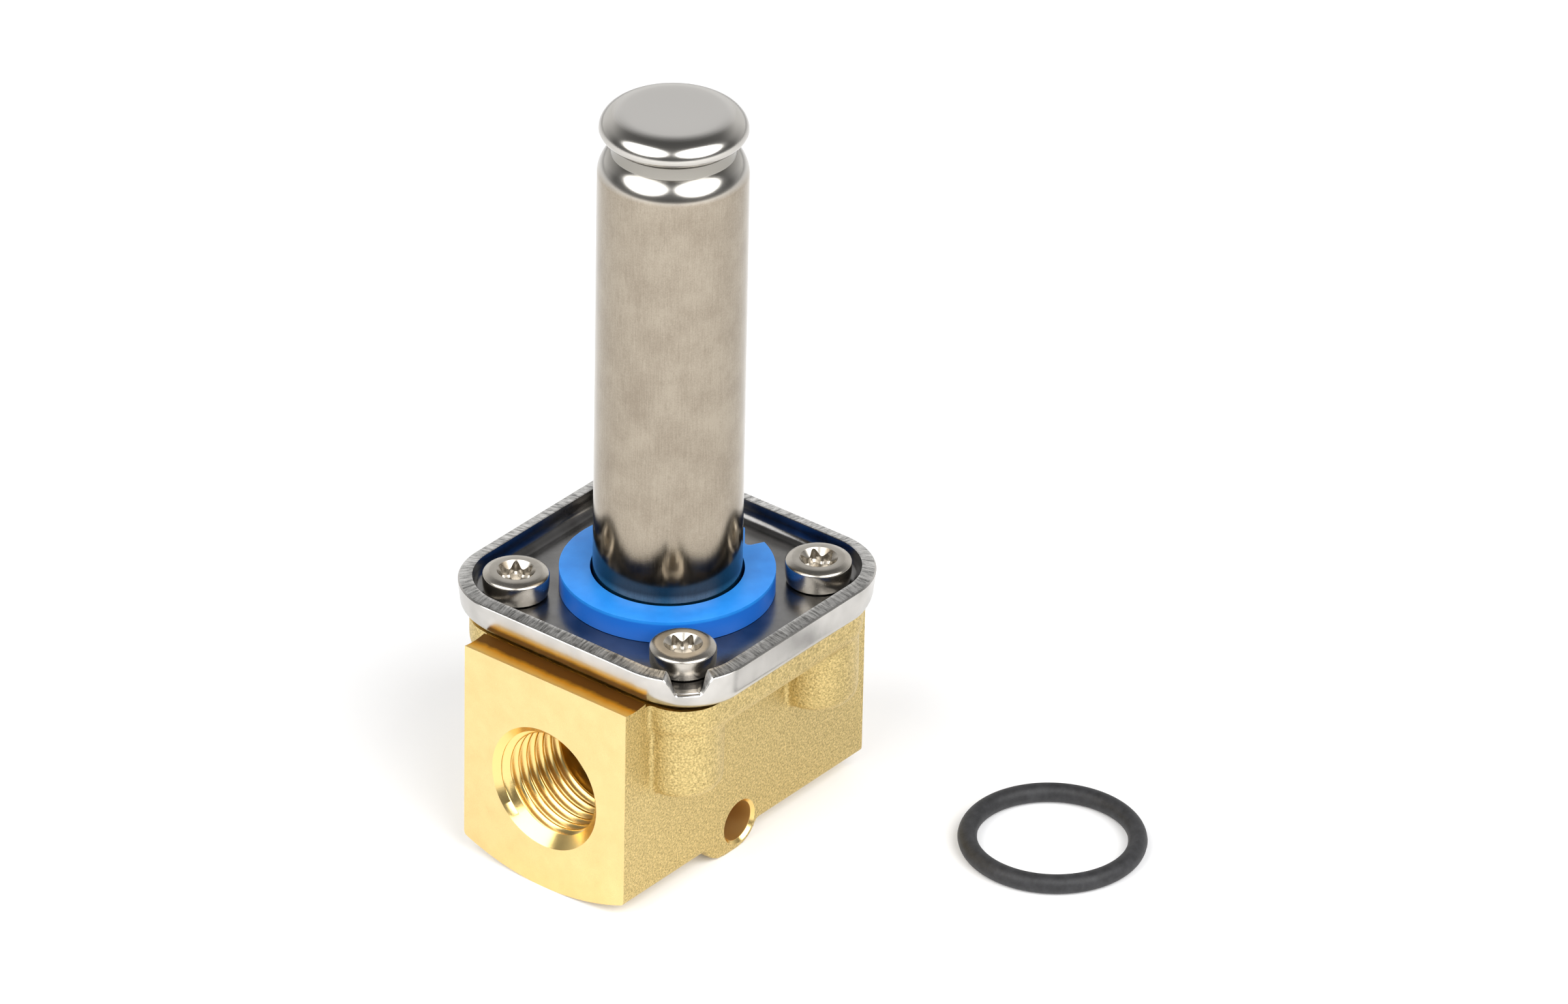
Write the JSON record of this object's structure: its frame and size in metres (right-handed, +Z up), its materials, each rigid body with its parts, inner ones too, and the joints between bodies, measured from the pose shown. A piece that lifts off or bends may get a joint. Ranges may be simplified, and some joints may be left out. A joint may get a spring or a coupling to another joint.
{
  "type": "solenoid valve",
  "caption": "Servo-operated solenoid valve: brass body with threaded ports in line, screwed steel cover, tall armature tube and blue coil spacer, with its loose coil seal beside it.",
  "frame": {"origin": "on the armature tube's axis, level with the flat along the underside of the brass body", "axes": "+Z up along the armature tube, X along the flow from the inlet at -X to the outlet at +X, Y across the body"},
  "size_m": [0.0511, 0.0642, 0.0848],
  "materials": {
    "forged_brass": "blasted sides, machined port faces",
    "turned_brass": "turned",
    "pressed_stainless": "mill finish, sheared edges",
    "tube_stainless": "fine drawn grain, polished crown",
    "screw_stainless": "satin, bright edge",
    "spring_steel": "bright drawn",
    "magnetic_steel": "ground",
    "copper": "bright copper",
    "blue_plastic": "soft sheen, lightly scuffed",
    "white_ptfe": "matte",
    "black_rubber": "matte, fine mould grain"
  },
  "bodies": {
    "housing": {"valve_body": "forged_brass", "cover_plate": "pressed_stainless", "cover_screw_front": "screw_stainless", "cover_screw_left": "screw_stainless", "cover_screw_back": "screw_stainless", "cover_screw_right": "screw_stainless", "armature_tube": "tube_stainless", "fixed_core": "magnetic_steel", "shading_ring": "copper", "armature_spring": "spring_steel", "diaphragm": "black_rubber"},
    "armature": {"armature": "magnetic_steel", "armature_seal": "black_rubber", "armature_guide_ring": "white_ptfe"},
    "diaphragm_centre": {"upper_washer": "spring_steel", "lower_washer": "spring_steel", "pilot_nozzle": "turned_brass", "bleed_bush": "turned_brass"},
    "spacer": {"coil_spacer_ring": "blue_plastic"},
    "loose_seal": {"coil_seal_ring": "black_rubber"}
  },
  "joints": [
    {"name": "armature_slide", "type": "slide", "parent": "housing", "child": "armature", "axis": [0, 0, 1], "range_m": [0, 0.002], "stiffness_N_per_m": 400, "springref_m": -0.004, "deforming": ["armature_spring"]},
    {"name": "diaphragm_lift", "type": "slide", "parent": "housing", "child": "diaphragm_centre", "axis": [0, 0, 1], "range_m": [0, 0.0012], "deforming": ["diaphragm"]},
    {"name": "spacer_slide", "type": "slide", "parent": "housing", "child": "spacer", "axis": [0, 0, 1], "range_m": [0, 0.05]},
    {"name": "loose_seal_lift", "type": "slide", "parent": "housing", "child": "loose_seal", "axis": [0, 0, 1], "range_m": [0, 0.1]}
  ],
  "couplings": [
    {"joint": "diaphragm_lift", "follows": "armature_slide", "ratio": 0.6}
  ]
}
